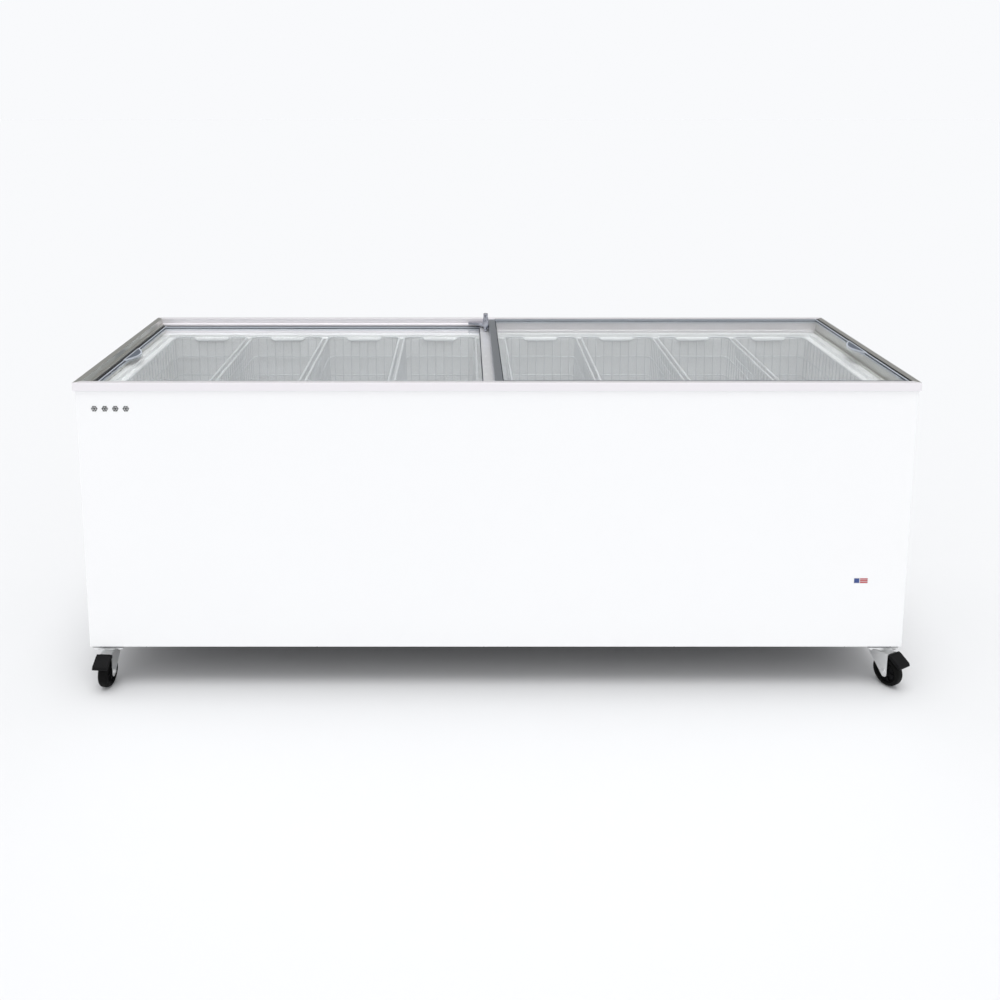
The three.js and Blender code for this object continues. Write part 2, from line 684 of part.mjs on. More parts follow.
function cordGland() {
  const { x, z, collar, spout, bore } = GLAND;
  const flange = alongY(circle(x, z, collar, 16), SKIN_Y + GAP, SKIN_Y + 3);
  const neck = alongY(circle(x, z, spout, 16), SKIN_Y - 12, SKIN_Y + 8);
  return cut(joined(flange, neck), alongY(circle(x, z, bore, 12), SKIN_Y - 20, SKIN_Y + 20));
}

function addMachines() {
  add("compressor", compressorShell(), blackPaint);
  add("condenser_coil", warmCoil(), copper);
  add("fan_motor", fanMotor(), blackPaint);
  add("fan_blade", fanBlade(), greyPlastic);
  add("compartment_grille", grillePlate(), greyPlastic);
  add("thermostat_bezel", thermostatBezel(), greyPlastic);
  add("thermostat_knob", thermostatKnob(), greyPlastic);
  add("cord_gland", cordGland(), blackPlastic);
}

// ---- Castors ----
// In a castor's own frame the swivel axis is Z, and U runs from it towards the trailing wheel.
function castorPlate() {
  const { halfX, halfY, sheet, boltX, boltY, boltRadius } = PLATE;
  const bottom = PLATE_TOP - sheet;
  const plate = box([-halfX, halfX], [-halfY, halfY], [bottom, PLATE_TOP]);
  const raceBottom = FORK_TOP + 0.5;
  const race = turned([
    [0, raceBottom], [RACE_RADIUS - 4, raceBottom], [RACE_RADIUS, raceBottom + 3.5],
    [RACE_RADIUS, bottom + 1], [0, bottom + 1],
  ], 24);
  const holes = [[-boltX, -boltY], [boltX, -boltY], [-boltX, boltY], [boltX, boltY]].map(([x, y]) => (
    alongZ(circle(x, y, boltRadius, 8), bottom - PAST, PLATE_TOP + PAST)
  ));
  const kingpinHole = alongZ(circle(0, 0, KINGPIN_RADIUS + 0.5, 16), raceBottom - PAST, PLATE_TOP + PAST);
  return cut(joined(plate, race), kingpinHole, ...holes);
}

function castorFork() {
  const outside = LEG_INSIDE + LEG_SHEET;
  const tip = arc(TRAIL, WHEEL_RADIUS - 4, 8.5, 205, 360, 5);
  const legOutline = [
    [-RACE_RADIUS, FORK_TOP], [-RACE_RADIUS, FORK_TOP - 6.5], ...tip, [TRAIL + 8.5, FORK_TOP],
  ];
  const across = [-outside, outside];
  const pieces = [
    alongY(legOutline, -outside, -LEG_INSIDE),
    alongY(legOutline, LEG_INSIDE, outside),
    box([-RACE_RADIUS, 28], [-outside + 1, outside - 1], [FORK_TOP - 2.5, FORK_TOP]),
    alongZ(circle(0, 0, KINGPIN_RADIUS, 16), FORK_TOP - 1, PLATE_TOP - PLATE.sheet - 0.8),
    alongY(circle(TRAIL, WHEEL_RADIUS, AXLE_RADIUS, 12), ...across),
    alongY(circle(TRAIL, WHEEL_RADIUS, NUT.radius, 6), -outside - NUT.height, -outside + 1),
    alongY(circle(TRAIL, WHEEL_RADIUS, NUT.radius, 6), outside - 1, outside + NUT.height),
    alongY(circle(PEDAL_PIN.u, PEDAL_PIN.z, PEDAL_PIN.radius, 10), ...across),
  ];
  return joined(...pieces);
}

function castorWheel() {
  const half = WHEEL_WIDTH / 2;
  const bore = AXLE_RADIUS + 0.35;
  const shoulder = arc(WHEEL_RADIUS - 5, half - 5, 5, 90, 0, 3);
  const nearShoulder = arc(WHEEL_RADIUS - 5, -half + 5, 5, 0, -90, 3);
  const profile = [
    [bore, half], [11, half], [13, half - 5], [25, half - 5], [27, half],
    ...shoulder, ...nearShoulder,
    [27, -half], [25, -half + 5], [13, -half + 5], [11, -half], [bore, -half],
  ];
  const wheel = turned([...profile.reverse(), profile[0]], 28);
  return wheel.rotateX(Math.PI / 2).translate(TRAIL, 0, WHEEL_RADIUS);
}

// An arm on the pin, and a broader tread that slopes down past the wheel.
function brakePedal() {
  const armOutline = [
    [11.5, 77.8], [34, 78.4], [44, 82.5], [50, 80], [50, 90],
    [46, 90.5], [38, 86.2], [34, 84.2], [11.5, 84.2],
  ];
  const treadOutline = [
    [43.5, 83], [50, 80.2], [62, 73], [74, 66.5], [79, 66.8],
    [80, 70], [77, 75.5], [54, 89], [47, 91], [43.5, 88.5],
  ];
  const arm = alongY(armOutline, -PEDAL.armHalf, PEDAL.armHalf);
  const tread = alongY(treadOutline, -PEDAL.treadHalf, PEDAL.treadHalf);
  const pinHole = circle(PEDAL_PIN.u, PEDAL_PIN.z, PEDAL_PIN.radius + 0.4, 10);
  return cut(joined(arm, tread), alongY(pinHole, -PEDAL.treadHalf, PEDAL.treadHalf));
}

// The plate stays square to the cabinet, and everything under it swivels.
function addCastor(name, x, y, trailDegrees) {
  const place = new THREE.Group();
  place.position.set(x, y, 0);
  freezer.add(place);
  const swivel = new THREE.Group();
  swivel.rotation.z = THREE.MathUtils.degToRad(trailDegrees);
  place.add(swivel);
  add(`castor_plate_${name}`, castorPlate(), zinc, place);
  add(`castor_fork_${name}`, castorFork(), zinc, swivel);
  add(`castor_wheel_${name}`, castorWheel(), blackRubber, swivel);
  add(`brake_pedal_${name}`, brakePedal(), blackPlastic, swivel);
}

function addCastors() {
  addCastor("front_left", -CASTOR_X, -CASTOR_Y, FRONT_LEFT_TRAIL);
  addCastor("front_right", CASTOR_X, -CASTOR_Y, FRONT_RIGHT_TRAIL);
  addCastor("rear_right", CASTOR_X, CASTOR_Y, FRONT_LEFT_TRAIL + 180);
  addCastor("rear_left", -CASTOR_X, CASTOR_Y, FRONT_RIGHT_TRAIL + 180);
}

addSkin();
addTopFrame();
addTub();
addBaskets();
addLidsAndLock();
addMachines();
addCastors();

export default freezer;
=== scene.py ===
"""The looks of a chest freezer with sliding glass lids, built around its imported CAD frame.

Metres, +Z up. The front faces -Y and the machine compartment is at +X.
"""

import math

import bmesh
import bpy
from mathutils import Matrix, Vector


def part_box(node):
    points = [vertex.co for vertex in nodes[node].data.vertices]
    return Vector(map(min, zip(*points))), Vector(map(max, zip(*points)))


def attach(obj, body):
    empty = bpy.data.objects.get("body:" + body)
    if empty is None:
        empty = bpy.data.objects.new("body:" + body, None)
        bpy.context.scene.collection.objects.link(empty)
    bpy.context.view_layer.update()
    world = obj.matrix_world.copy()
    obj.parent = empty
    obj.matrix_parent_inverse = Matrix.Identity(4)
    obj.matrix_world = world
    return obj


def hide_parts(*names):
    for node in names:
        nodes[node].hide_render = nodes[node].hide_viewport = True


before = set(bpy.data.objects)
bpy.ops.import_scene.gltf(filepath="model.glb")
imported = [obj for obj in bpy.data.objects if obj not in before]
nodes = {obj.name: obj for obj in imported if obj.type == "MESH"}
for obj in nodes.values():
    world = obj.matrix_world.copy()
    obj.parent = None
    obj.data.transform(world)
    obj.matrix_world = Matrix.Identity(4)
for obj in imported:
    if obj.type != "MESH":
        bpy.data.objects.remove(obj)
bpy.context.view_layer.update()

# ---- Driving dimensions ----
CORNERS = ("front_left", "front_right", "rear_right", "rear_left")
BASKETS = [f"{half}_{i}" for half in ("left", "right") for i in range(1, 5)]
SHARP = math.radians(32)  # edges steeper than this stay sharp

# Screws, stars and sticker on the cabinet
SCREWS_ACROSS = (-0.995, -0.88, -0.45, -0.03, 0.03, 0.45, 0.88, 0.995)
SCREW_INSET = 0.007  # from the cabinet's face to a screw's centre
SCREW_WASHER, SCREW_HEAD, SCREW_HEIGHT = 0.0045, 0.0027, 0.0034
STAR_COUNT = 4
STAR_SIZE = 0.016
STAR_PITCH = 0.0255
FIRST_STAR = (-0.976, 0.730)  # x and z
STICKER = (0.908, 0.286)
STICKER_SIZE = (0.035, 0.014)

# Machine compartment
GRILLE_SCREW_INSET = 0.009
MARK_COUNT = 7
MARK_CIRCLE = 0.0182
MARK_HALF = 0.0005  # half a mark's width
FIRST_MARK, MARK_GROWTH = 0.0022, 0.0004
POINTER_HALF = 0.0007
REAR_PLATE = (0.62, 0.30)
REAR_PLATE_SIZE = (0.090, 0.055)
RIVETS_ACROSS, RIVETS_UP = 0.040, 0.0225

# Baskets
RIM_WIRE = 0.00275
WALL_WIRE = 0.0016
MESH_WIRE = 0.0013
RIM_BOTTOM = 0.7423  # just clear of the tub's ledge
BASKET_WALL_Y = 0.282  # half the depth over the walls, under the rim
ROWS, COLUMNS = 21, 8
WALL_RINGS = (0.25, 0.5, 0.75)  # how far down the wall each one runs
RIM_CORNER = 0.020
DIP_WIDTH = 0.084
DIP_DEPTH = 0.008
DIP_INWARD = 0.007
DIP_SLOPE = 0.014
BASKET_TAPER = 0.006
BASKET_FLOOR_BEND = 0.016

# Lids
BEAD_INSET = 0.005  # from the glass's edge
BEAD_WIDTH, BEAD_RISE = 0.0024, 0.0016
EDGE_INSET, EDGE_WIDTH, EDGE_END_WIDTH, EDGE_RISE = 0.0004, 0.0034, 0.0042, 0.0014
SUNK = 0.0005  # how far a strip or pad goes into what it sits on
PAD_INSET = 0.008  # from the lid's end to the grip pad's straight side
PAD_MIDDLE, PAD_HALF, PAD_REACH, PAD_RISE = -0.003, 0.056, 0.0205, 0.0004
BRUSH_WIDTH, BRUSH_DROP, BRUSH_INSET = 0.004, 0.0045, 0.014

# Lock
LUG_THICKNESS = 0.007
LUG_TAIL = 0.012  # length of the lug's straight rear end
BUTTON, CROWN = 0.0069, 0.0018
PIN, PIN_CHAMFER, PIN_LENGTH = 0.004, 0.0005, 0.011
SOCKET, SOCKET_DEPTH = 0.0043, 0.009

# Castors
WHEEL_STEPS = 64
WHEEL_HALF = 0.013
TRAIL = 0.032
AXLE_HEIGHT = 0.0375
CROWN_TOP = 0.0885
FORK_BACK, FORK_FRONT = -0.021, 0.0405
FORK_BEND = 0.005
LEG_INSIDE = 0.0145
LEG_SHEET = 0.0022
LEG_OUTSIDE = LEG_INSIDE + LEG_SHEET
AXLE, AXLE_PAST = 0.0038, 0.004
NUT, NUT_HEIGHT = 0.0064, 0.0032
WASHER, WASHER_HEIGHT = 0.0085, 0.0008
PLATE_BOLT, PLATE_BOLT_X, PLATE_BOLT_Y = 0.0065, 0.029, 0.022
PLATE_BOTTOM = 0.0973

# Camera
CAMERA_PLACE = (-0.0815, -2.712, 1.5014)
CAMERA_PITCH = math.radians(81.4)
CAMERA_LENS = 36.46
CAMERA_SHIFT = (0.0367, -0.260)

# Light
BACKGROUND = (0.947, 0.955, 0.973)
SKY_LIGHT = (0.95, 0.955, 0.965)
SKY_DIM = (0.30, 0.30, 0.295)
DIM_FROM, DIM_TO = 0.45, 0.85  # how far a direction points backwards, from 0 to 1
KEY_STRENGTH = 1.2
KEY_ELEVATION = 80
KEY_SOFTNESS = 34
FLOOR_SIZE = 90


# ---- Shapes: each is (points, faces) ----
def block(lo, hi):
    across, deep, high = zip(lo, hi)
    points = [Vector((x, y, z)) for x in across for y in deep for z in high]
    return points, [(0, 1, 3, 2), (4, 6, 7, 5), (0, 4, 5, 1), (2, 3, 7, 6), (0, 2, 6, 4), (1, 5, 7, 3)]


def prism(outline, low, high):
    """An outline of (x, y) points extruded from z = low to z = high."""
    count = len(outline)
    points = [Vector((x, y, z)) for z in (low, high) for x, y in outline]
    sides = [(i, (i + 1) % count, (i + 1) % count + count, i + count) for i in range(count)]
    return points, sides + [tuple(reversed(range(count))), tuple(range(count, 2 * count))]


def turned(profile, steps):
    """A profile of (radius, z) turned about Z. It starts and ends on the axis, or closes on itself."""
    points, faces = [], []
    rings = len(profile)
    for step in range(steps):
        angle = 2 * math.pi * step / steps
        points += [Vector((r * math.cos(angle), r * math.sin(angle), z)) for r, z in profile]
        for ring in range(rings - 1):
            a = step * rings + ring
            b = (step + 1) % steps * rings + ring
            faces.append((a, b, b + 1, a + 1))
    return points, faces


def tube(path, radius, sides=8, closed=False):
    """A round wire along a path of Vectors."""
    last = len(path) - 1
    points, faces = [], []
    across = None
    for i, place in enumerate(path):
        before = path[i - 1] if closed or i else place
        after = path[(i + 1) % len(path)] if closed or i < last else place
        along = (after - before).normalized()
        across = along.orthogonal() if across is None else across - along * across.dot(along)
        across.normalize()
        up = along.cross(across)
        for k in range(sides):
            angle = 2 * math.pi * k / sides
            points.append(place + radius * (math.cos(angle) * across + math.sin(angle) * up))
    for i in range(len(path) if closed else last):
        for k in range(sides):
            start, end = i * sides, (i + 1) % len(path) * sides
            following = (k + 1) % sides
            faces.append((start + k, start + following, end + following, end + k))
    if not closed:
        faces += [tuple(reversed(range(sides))), tuple(range(last * sides, (last + 1) * sides))]
    return points, faces


def border(lo, hi, width):
    """A flat rectangular ring between two corners, its strips as wide as width."""
    outer = [(lo[0], lo[1]), (hi[0], lo[1]), (hi[0], hi[1]), (lo[0], hi[1])]
    inner = [
        (lo[0] + width, lo[1] + width), (hi[0] - width, lo[1] + width),
        (hi[0] - width, hi[1] - width), (lo[0] + width, hi[1] - width),
    ]
    points = [Vector((x, y, z)) for z in (lo[2], hi[2]) for ring in (outer, inner) for x, y in ring]
    faces = []
    for i in range(4):
        j = (i + 1) % 4
        faces += [(i, j, j + 4, i + 4), (i + 8, j + 8, j + 12, i + 12)]
        faces += [(i, j, j + 8, i + 8), (i + 4, j + 4, j + 12, i + 12)]
    return points, faces


def placed(shape, matrix):
    points, faces = shape
    return [matrix @ p for p in points], faces


def arc(centre, radius, from_degrees, to_degrees, steps):
    """Points (a, b) of an arc, both ends included."""
    made = []
    for i in range(steps + 1):
        angle = math.radians(from_degrees + (to_degrees - from_degrees) * i / steps)
        made.append((centre[0] + radius * math.cos(angle), centre[1] + radius * math.sin(angle)))
    return made


def rounded_rectangle(width, height, radius, steps=6):
    x, y = width / 2 - radius, height / 2 - radius
    corners = ((x, y, 0), (-x, y, 90), (-x, -y, 180), (x, -y, 270))
    return [p for a, b, start in corners for p in arc((a, b), radius, start, start + 90, steps)]


def turn(degrees, axis):
    return Matrix.Rotation(math.radians(degrees), 4, axis)


# ---- Pieces ----
def piece(name, body, finish, *shapes, slot=None, bevel=0, segments=2, replaces=()):
    """Joins shapes into one smooth-shaded object that rides on a body."""
    work = bmesh.new()
    for points, faces in shapes:
        verts = [work.verts.new(p) for p in points]
        for face in faces:
            work.faces.new([verts[i] for i in face])
    bmesh.ops.remove_doubles(work, verts=work.verts, dist=1e-6)
    bmesh.ops.recalc_face_normals(work, faces=work.faces)
    mesh = bpy.data.meshes.new(name)
    work.to_mesh(mesh)
    work.free()
    mesh.materials.append(finish)
    mesh.shade_smooth()
    mesh.set_sharp_from_angle(angle=SHARP)
    made = bpy.data.objects.new(name, mesh)
    bpy.context.scene.collection.objects.link(made)
    if bevel:
        round_edges(made, bevel, segments)
    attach(made, body)
    if replaces:
        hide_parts(*replaces)


def round_edges(made, width, segments):
    bevel = made.modifiers.new("bevel", "BEVEL")
    bevel.width = width
    bevel.segments = segments
    bevel.limit_method = "ANGLE"
    bevel.angle_limit = SHARP
    bevel.use_clamp_overlap = True
    normals = made.modifiers.new("normals", "WEIGHTED_NORMAL")
    normals.keep_sharp = False


def dress(name, finish, bevel=0.0006, segments=2):
    """Gives a CAD node its material and softens its edges. Its own mesh stays as it is."""
    node = nodes[name]
    node.data.shade_smooth()
    node.material_slots[0].material = finish
    weld = node.modifiers.new("weld", "WELD")
    weld.merge_threshold = 1e-5
    flat = node.modifiers.new("flat", "DECIMATE")
    flat.decimate_type = "DISSOLVE"
    flat.angle_limit = math.radians(1)
    round_edges(node, bevel, segments)


# ---- Materials ----
def mixed_colour(tree, factor, first, second):
    mix = tree.nodes.new("ShaderNodeMix")
    mix.data_type = "RGBA"
    mix.inputs["A"].default_value = (*first, 1)
    mix.inputs["B"].default_value = (*second, 1)
    tree.links.new(factor, mix.inputs["Factor"])
    return mix


class Finish:
    """A Principled material whose colour, roughness and bump come from procedural textures."""

    def __init__(self, name, metallic=0.0, **sockets):
        self.material = bpy.data.materials.new(name)
        self.material.use_nodes = True
        self.tree = self.material.node_tree
        self.shader = self.tree.nodes["Principled BSDF"]
        self.shader.inputs["Metallic"].default_value = metallic
        for socket, value in sockets.items():
            self.shader.inputs[socket.replace("_", " ")].default_value = value
        self.place = self.tree.nodes.new("ShaderNodeTexCoord").outputs["Object"]
        self.normal = None

    def stretched(self, scale):
        mapping = self.tree.nodes.new("ShaderNodeMapping")
        mapping.inputs["Scale"].default_value = scale
        self.tree.links.new(self.place, mapping.inputs["Vector"])
        return mapping.outputs["Vector"]

    def noise(self, scale, detail=3.0, stretch=(1, 1, 1)):
        noise = self.tree.nodes.new("ShaderNodeTexNoise")
        noise.inputs["Scale"].default_value = scale
        noise.inputs["Detail"].default_value = detail
        self.tree.links.new(self.stretched(stretch), noise.inputs["Vector"])
        return noise.outputs["Fac"]

    def cells(self, scale):
        cells = self.tree.nodes.new("ShaderNodeTexVoronoi")
        cells.feature = "SMOOTH_F1"
        cells.inputs["Scale"].default_value = scale
        self.tree.links.new(self.place, cells.inputs["Vector"])
        return cells.outputs["Distance"]

    def colour(self, value, dark, light):
        mix = mixed_colour(self.tree, value, dark, light)
        self.tree.links.new(mix.outputs["Result"], self.shader.inputs["Base Color"])

    def roughness(self, value, low, high):
        spread = self.tree.nodes.new("ShaderNodeMapRange")
        spread.inputs["To Min"].default_value = low
        spread.inputs["To Max"].default_value = high
        self.tree.links.new(value, spread.inputs["Value"])
        self.tree.links.new(spread.outputs["Result"], self.shader.inputs["Roughness"])

    def bump(self, height, depth, strength=1.0):
        bump = self.tree.nodes.new("ShaderNodeBump")
        bump.inputs["Distance"].default_value = depth
        bump.inputs["Strength"].default_value = strength
        self.tree.links.new(height, bump.inputs["Height"])
        if self.normal:
            self.tree.links.new(self.normal, bump.inputs["Normal"])
        self.normal = bump.outputs["Normal"]
        self.tree.links.new(self.normal, self.shader.inputs["Normal"])


def painted_steel():
    """White powder coat: a faint orange peel."""
    made = Finish("white_paint", Coat_Weight=0.2, Coat_Roughness=0.2)
    made.colour(made.noise(1.6), (0.93, 0.932, 0.938), (0.95, 0.951, 0.956))
    made.roughness(made.noise(35), 0.34, 0.46)
    made.bump(made.noise(620, 2), 0.00003, 0.35)
    return made.material


def brushed_metal(name, dark, light, rough, along, metallic=1.0):
    """Metal with fine drawn lines along one axis. Below 1, metallic makes it satin."""
    made = Finish(name, metallic=metallic)
    stretch = tuple(0.012 if axis == along else 1 for axis in "xyz")
    lines = made.noise(2400, 2, stretch)
    made.colour(lines, dark, light)
    made.roughness(lines, rough - 0.05, rough + 0.07)
    made.bump(lines, 0.00002, 0.3)
    return made.material


def zinc_plate(name, dark, light):
    made = Finish(name, metallic=0.85)
    made.colour(made.noise(70, 4), dark, light)
    made.roughness(made.noise(140, 3), 0.22, 0.42)
    made.bump(made.noise(420, 3), 0.00004, 0.4)
    return made.material


def chrome_plate():
    made = Finish("lock_chrome", metallic=1.0)
    made.colour(made.noise(40, 2), (0.33, 0.34, 0.39), (0.45, 0.46, 0.51))
    made.roughness(made.noise(90, 3), 0.05, 0.13)
    return made.material


def embossed_aluminium():
    """Pre-painted aluminium with a stucco pattern rolled into it."""
    made = Finish("liner_aluminium", metallic=0.1)
    made.colour(made.noise(9, 3), (0.90, 0.91, 0.925), (0.94, 0.948, 0.955))
    made.roughness(made.noise(60, 3), 0.36, 0.50)
    made.bump(made.cells(210), 0.0005, 0.35)
    return made.material


def moulded(name, dark, light, rough, grain=900, gloss=0.5):
    """Moulded plastic or rubber with a fine grain."""
    made = Finish(name, Specular_IOR_Level=gloss)
    made.colour(made.noise(55, 3), dark, light)
    made.roughness(made.noise(180, 3), rough - 0.07, rough + 0.07)
    made.bump(made.noise(grain, 2), 0.00004, 0.4)
    return made.material


def coated_wire():
    made = Finish("coated_wire", Coat_Weight=0.3, Coat_Roughness=0.15)
    made.colour(made.noise(45, 3), (0.66, 0.68, 0.71), (0.76, 0.775, 0.80))
    made.roughness(made.noise(150, 2), 0.28, 0.40)
    made.bump(made.noise(260, 2), 0.00006, 0.4)
    return made.material


def sprayed_foam():
    made = Finish("foam")
    made.colour(made.noise(30, 4), (0.70, 0.58, 0.30), (0.85, 0.76, 0.48))
    made.roughness(made.noise(90, 2), 0.85, 0.98)
    made.bump(made.cells(160), 0.002, 0.6)
    return made.material


def drawn_copper():
    made = Finish("copper_tube", metallic=1.0)
    made.colour(made.noise(40, 4), (0.52, 0.24, 0.13), (0.78, 0.42, 0.26))
    made.roughness(made.noise(120, 3), 0.28, 0.48)
    return made.material


def clear_glass():
    """Clear glass. Shadow rays go straight through, so that the tub is lit through the lids."""
    made = Finish("lid_glass", Transmission_Weight=1.0, IOR=1.45)
    made.colour(made.noise(3), (0.975, 0.985, 0.982), (0.985, 0.992, 0.99))
    made.roughness(made.noise(14, 4), 0.0, 0.01)
    nodes_, links = made.tree.nodes, made.tree.links
    rays = nodes_.new("ShaderNodeLightPath")
    clear = nodes_.new("ShaderNodeBsdfTransparent")
    clear.inputs["Color"].default_value = (0.975, 0.985, 0.982, 1)
    mix = nodes_.new("ShaderNodeMixShader")
    links.new(rays.outputs["Is Shadow Ray"], mix.inputs["Fac"])
    links.new(made.shader.outputs["BSDF"], mix.inputs[1])
    links.new(clear.outputs["BSDF"], mix.inputs[2])
    links.new(mix.outputs["Shader"], nodes_["Material Output"].inputs["Surface"])
    return made.material


PAINT = painted_steel()
# The one aluminium frame in two colours: lighter on the front and rear rails (painted light), darker on
# the end rails (painted shade).
FRAME_PAINTED_LIGHT = brushed_metal("frame_aluminium_painted_light", (0.85, 0.82, 0.85), (0.91, 0.885, 0.91), 0.34, "x", 0.5)
FRAME_PAINTED_SHADE = brushed_metal("frame_aluminium_painted_shade", (0.60, 0.60, 0.57), (0.70, 0.70, 0.67), 0.34, "y")
BRIGHT_STILE = brushed_metal("stile_aluminium", (0.84, 0.84, 0.86), (0.93, 0.93, 0.95), 0.24, "y", 0.5)
GREY_STILE = brushed_metal("stile_aluminium_grey", (0.44, 0.47, 0.52), (0.54, 0.57, 0.62), 0.30, "y")
ZINC = zinc_plate("zinc_steel", (0.78, 0.79, 0.80), (0.93, 0.93, 0.92))
# Near-black zinc for the base pan and rails: painted shade under the cabinet.
ZINC_PAINTED_SHADE = zinc_plate("zinc_painted_shade", (0.10, 0.10, 0.11), (0.19, 0.19, 0.20))
CHROME = chrome_plate()
LINER = embossed_aluminium()
WIRE = coated_wire()
FOAM = sprayed_foam()
COPPER = drawn_copper()
GLASS = clear_glass()
LID_PLASTIC = moulded("lid_frame", (0.50, 0.54, 0.60), (0.58, 0.62, 0.68), 0.36)
GREY_PLASTIC = moulded("grey_plastic", (0.60, 0.60, 0.61), (0.68, 0.68, 0.69), 0.48)
BLACK_PLASTIC = moulded("black_plastic", (0.0025, 0.0025, 0.003), (0.006, 0.006, 0.0065), 0.42, gloss=0.10)
RUBBER = moulded("wheel_rubber", (0.0025, 0.0025, 0.0025), (0.006, 0.006, 0.006), 0.55, 1400, gloss=0.08)
SEAL = moulded("seal_rubber", (0.020, 0.024, 0.034), (0.035, 0.042, 0.056), 0.55, gloss=0.3)
# Near-black rubber for the stile brush and the lids' edge strips; on the strips the black also stands for
# the shadow in the gap to the frame, painted shade.
SEAL_AND_GAP_SHADE = moulded("seal_and_gap_shade", (0.006, 0.006, 0.007), (0.014, 0.014, 0.016), 0.55, gloss=0.2)
# Dark bluish grey for the finger-grip pads: painted shade under the grips.
GRIP_PAINTED_SHADE = moulded("grip_painted_shade", (0.070, 0.085, 0.115), (0.110, 0.130, 0.165), 0.42)
BLACK_PAINT = moulded("black_paint", (0.012, 0.012, 0.014), (0.030, 0.030, 0.033), 0.38)
BLUE_INK = moulded("blue_ink", (0.03, 0.06, 0.22), (0.05, 0.09, 0.28), 0.45)
RED_INK = moulded("red_ink", (0.45, 0.03, 0.04), (0.55, 0.05, 0.06), 0.45)


# ---- Camera, light and floor ----
def add_camera():
    camera = bpy.data.objects.new("camera", bpy.data.cameras.new("camera"))
    bpy.context.scene.collection.objects.link(camera)
    camera.location = CAMERA_PLACE
    camera.rotation_euler = (CAMERA_PITCH, 0, 0)
    camera.data.lens = CAMERA_LENS
    camera.data.sensor_width = 36
    camera.data.shift_x, camera.data.shift_y = CAMERA_SHIFT
    camera.data.clip_end = 200
    bpy.context.scene.camera = camera


def add_sky():
    """A pale studio, dimmer low down behind the freezer. The camera sees it as the plain backdrop."""
    world = bpy.data.worlds.new("studio")
    bpy.context.scene.world = world
    world.use_nodes = True
    nodes_, links = world.node_tree.nodes, world.node_tree.links
    direction = nodes_.new("ShaderNodeSeparateXYZ")
    links.new(nodes_.new("ShaderNodeTexCoord").outputs["Generated"], direction.inputs["Vector"])
    behind = nodes_.new("ShaderNodeMapRange")
    behind.interpolation_type = "SMOOTHSTEP"
    behind.inputs["From Min"].default_value = DIM_FROM
    behind.inputs["From Max"].default_value = DIM_TO
    links.new(direction.outputs["Y"], behind.inputs["Value"])
    lighting = mixed_colour(world.node_tree, behind.outputs["Result"], SKY_LIGHT, SKY_DIM)
    rays = nodes_.new("ShaderNodeLightPath")
    seen = mixed_colour(world.node_tree, rays.outputs["Is Camera Ray"], SKY_LIGHT, BACKGROUND)
    links.new(lighting.outputs["Result"], seen.inputs["A"])
    links.new(seen.outputs["Result"], nodes_["Background"].inputs["Color"])


def add_key_light():
    """A soft light from far away, high up in front."""
    lamp = bpy.data.lights.new("key", "SUN")
    lamp.energy = KEY_STRENGTH
    lamp.angle = math.radians(KEY_SOFTNESS)
    sun = bpy.data.objects.new("key", lamp)
    bpy.context.scene.collection.objects.link(sun)
    sun.rotation_euler = (math.radians(90 - KEY_ELEVATION), 0, 0)


def add_floor():
    half = FLOOR_SIZE / 2
    mesh = bpy.data.meshes.new("floor")
    corners = [(-half, -half, 0), (half, -half, 0), (half, half, 0), (-half, half, 0)]
    mesh.from_pydata(corners, [], [(0, 1, 2, 3)])
    floor = bpy.data.objects.new("floor", mesh)
    bpy.context.scene.collection.objects.link(floor)
    made = Finish("floor")
    made.colour(made.noise(0.5), (0.757, 0.761, 0.769), (0.759, 0.763, 0.771))
    made.roughness(made.noise(5), 0.85, 0.95)
    made.shader.inputs["Specular IOR Level"].default_value = 0.0
    mesh.materials.append(made.material)


# ---- Cabinet ----
def screw(place, facing):
    """A hexagonal washer-head screw whose head stands out along facing."""
    washer = [(0, 0), (SCREW_WASHER, 0), (SCREW_WASHER, 0.0006), (0.0030, 0.0012), (0, 0.0012)]
    head = prism(arc((0, 0), SCREW_HEAD, 0, 300, 5), 0.0009, SCREW_HEIGHT)
    matrix = Matrix.Translation(place) @ Vector(facing).to_track_quat("Z", "Y").to_matrix().to_4x4()
    return [placed(turned(washer, 20), matrix), placed(head, matrix)]


def add_cabinet():
    for name in ("front_panel", "rear_panel", "left_panel", "right_panel"):
        dress(name, PAINT, 0.0003, 1)
    # Front and rear rails take the lighter frame colour (painted light), the end rails the darker one
    # (painted shade).
    for name in ("top_rail_front", "top_rail_rear"):
        dress(name, FRAME_PAINTED_LIGHT, 0.0007)
    for name in ("top_rail_left", "top_rail_right"):
        dress(name, FRAME_PAINTED_SHADE, 0.0007)
    # The base pan and rails are darkened zinc: painted shade under the cabinet.
    for name in ("base_pan", "base_rail_front", "base_rail_rear"):
        dress(name, ZINC_PAINTED_SHADE, 0.0003, 1)
    dress("liner", LINER, 0.0030, 3)
    dress("insulation_foam", FOAM, 0.001)
    dress("evaporator_coil", COPPER, 0.0001)
    dress("drain_plug", GREY_PLASTIC, 0.0005)


def add_skin_screws():
    lo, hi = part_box("front_panel")
    below = lo.z
    inset = lo.y + SCREW_INSET
    front = [s for x in SCREWS_ACROSS for s in screw((x, inset, below), (0, 0, -1))]
    rear = [s for x in SCREWS_ACROSS for s in screw((x, -inset, below), (0, 0, -1))]
    piece("bottom_screws", "cabinet", BLACK_PAINT, *front, *rear, slot="black_paint")


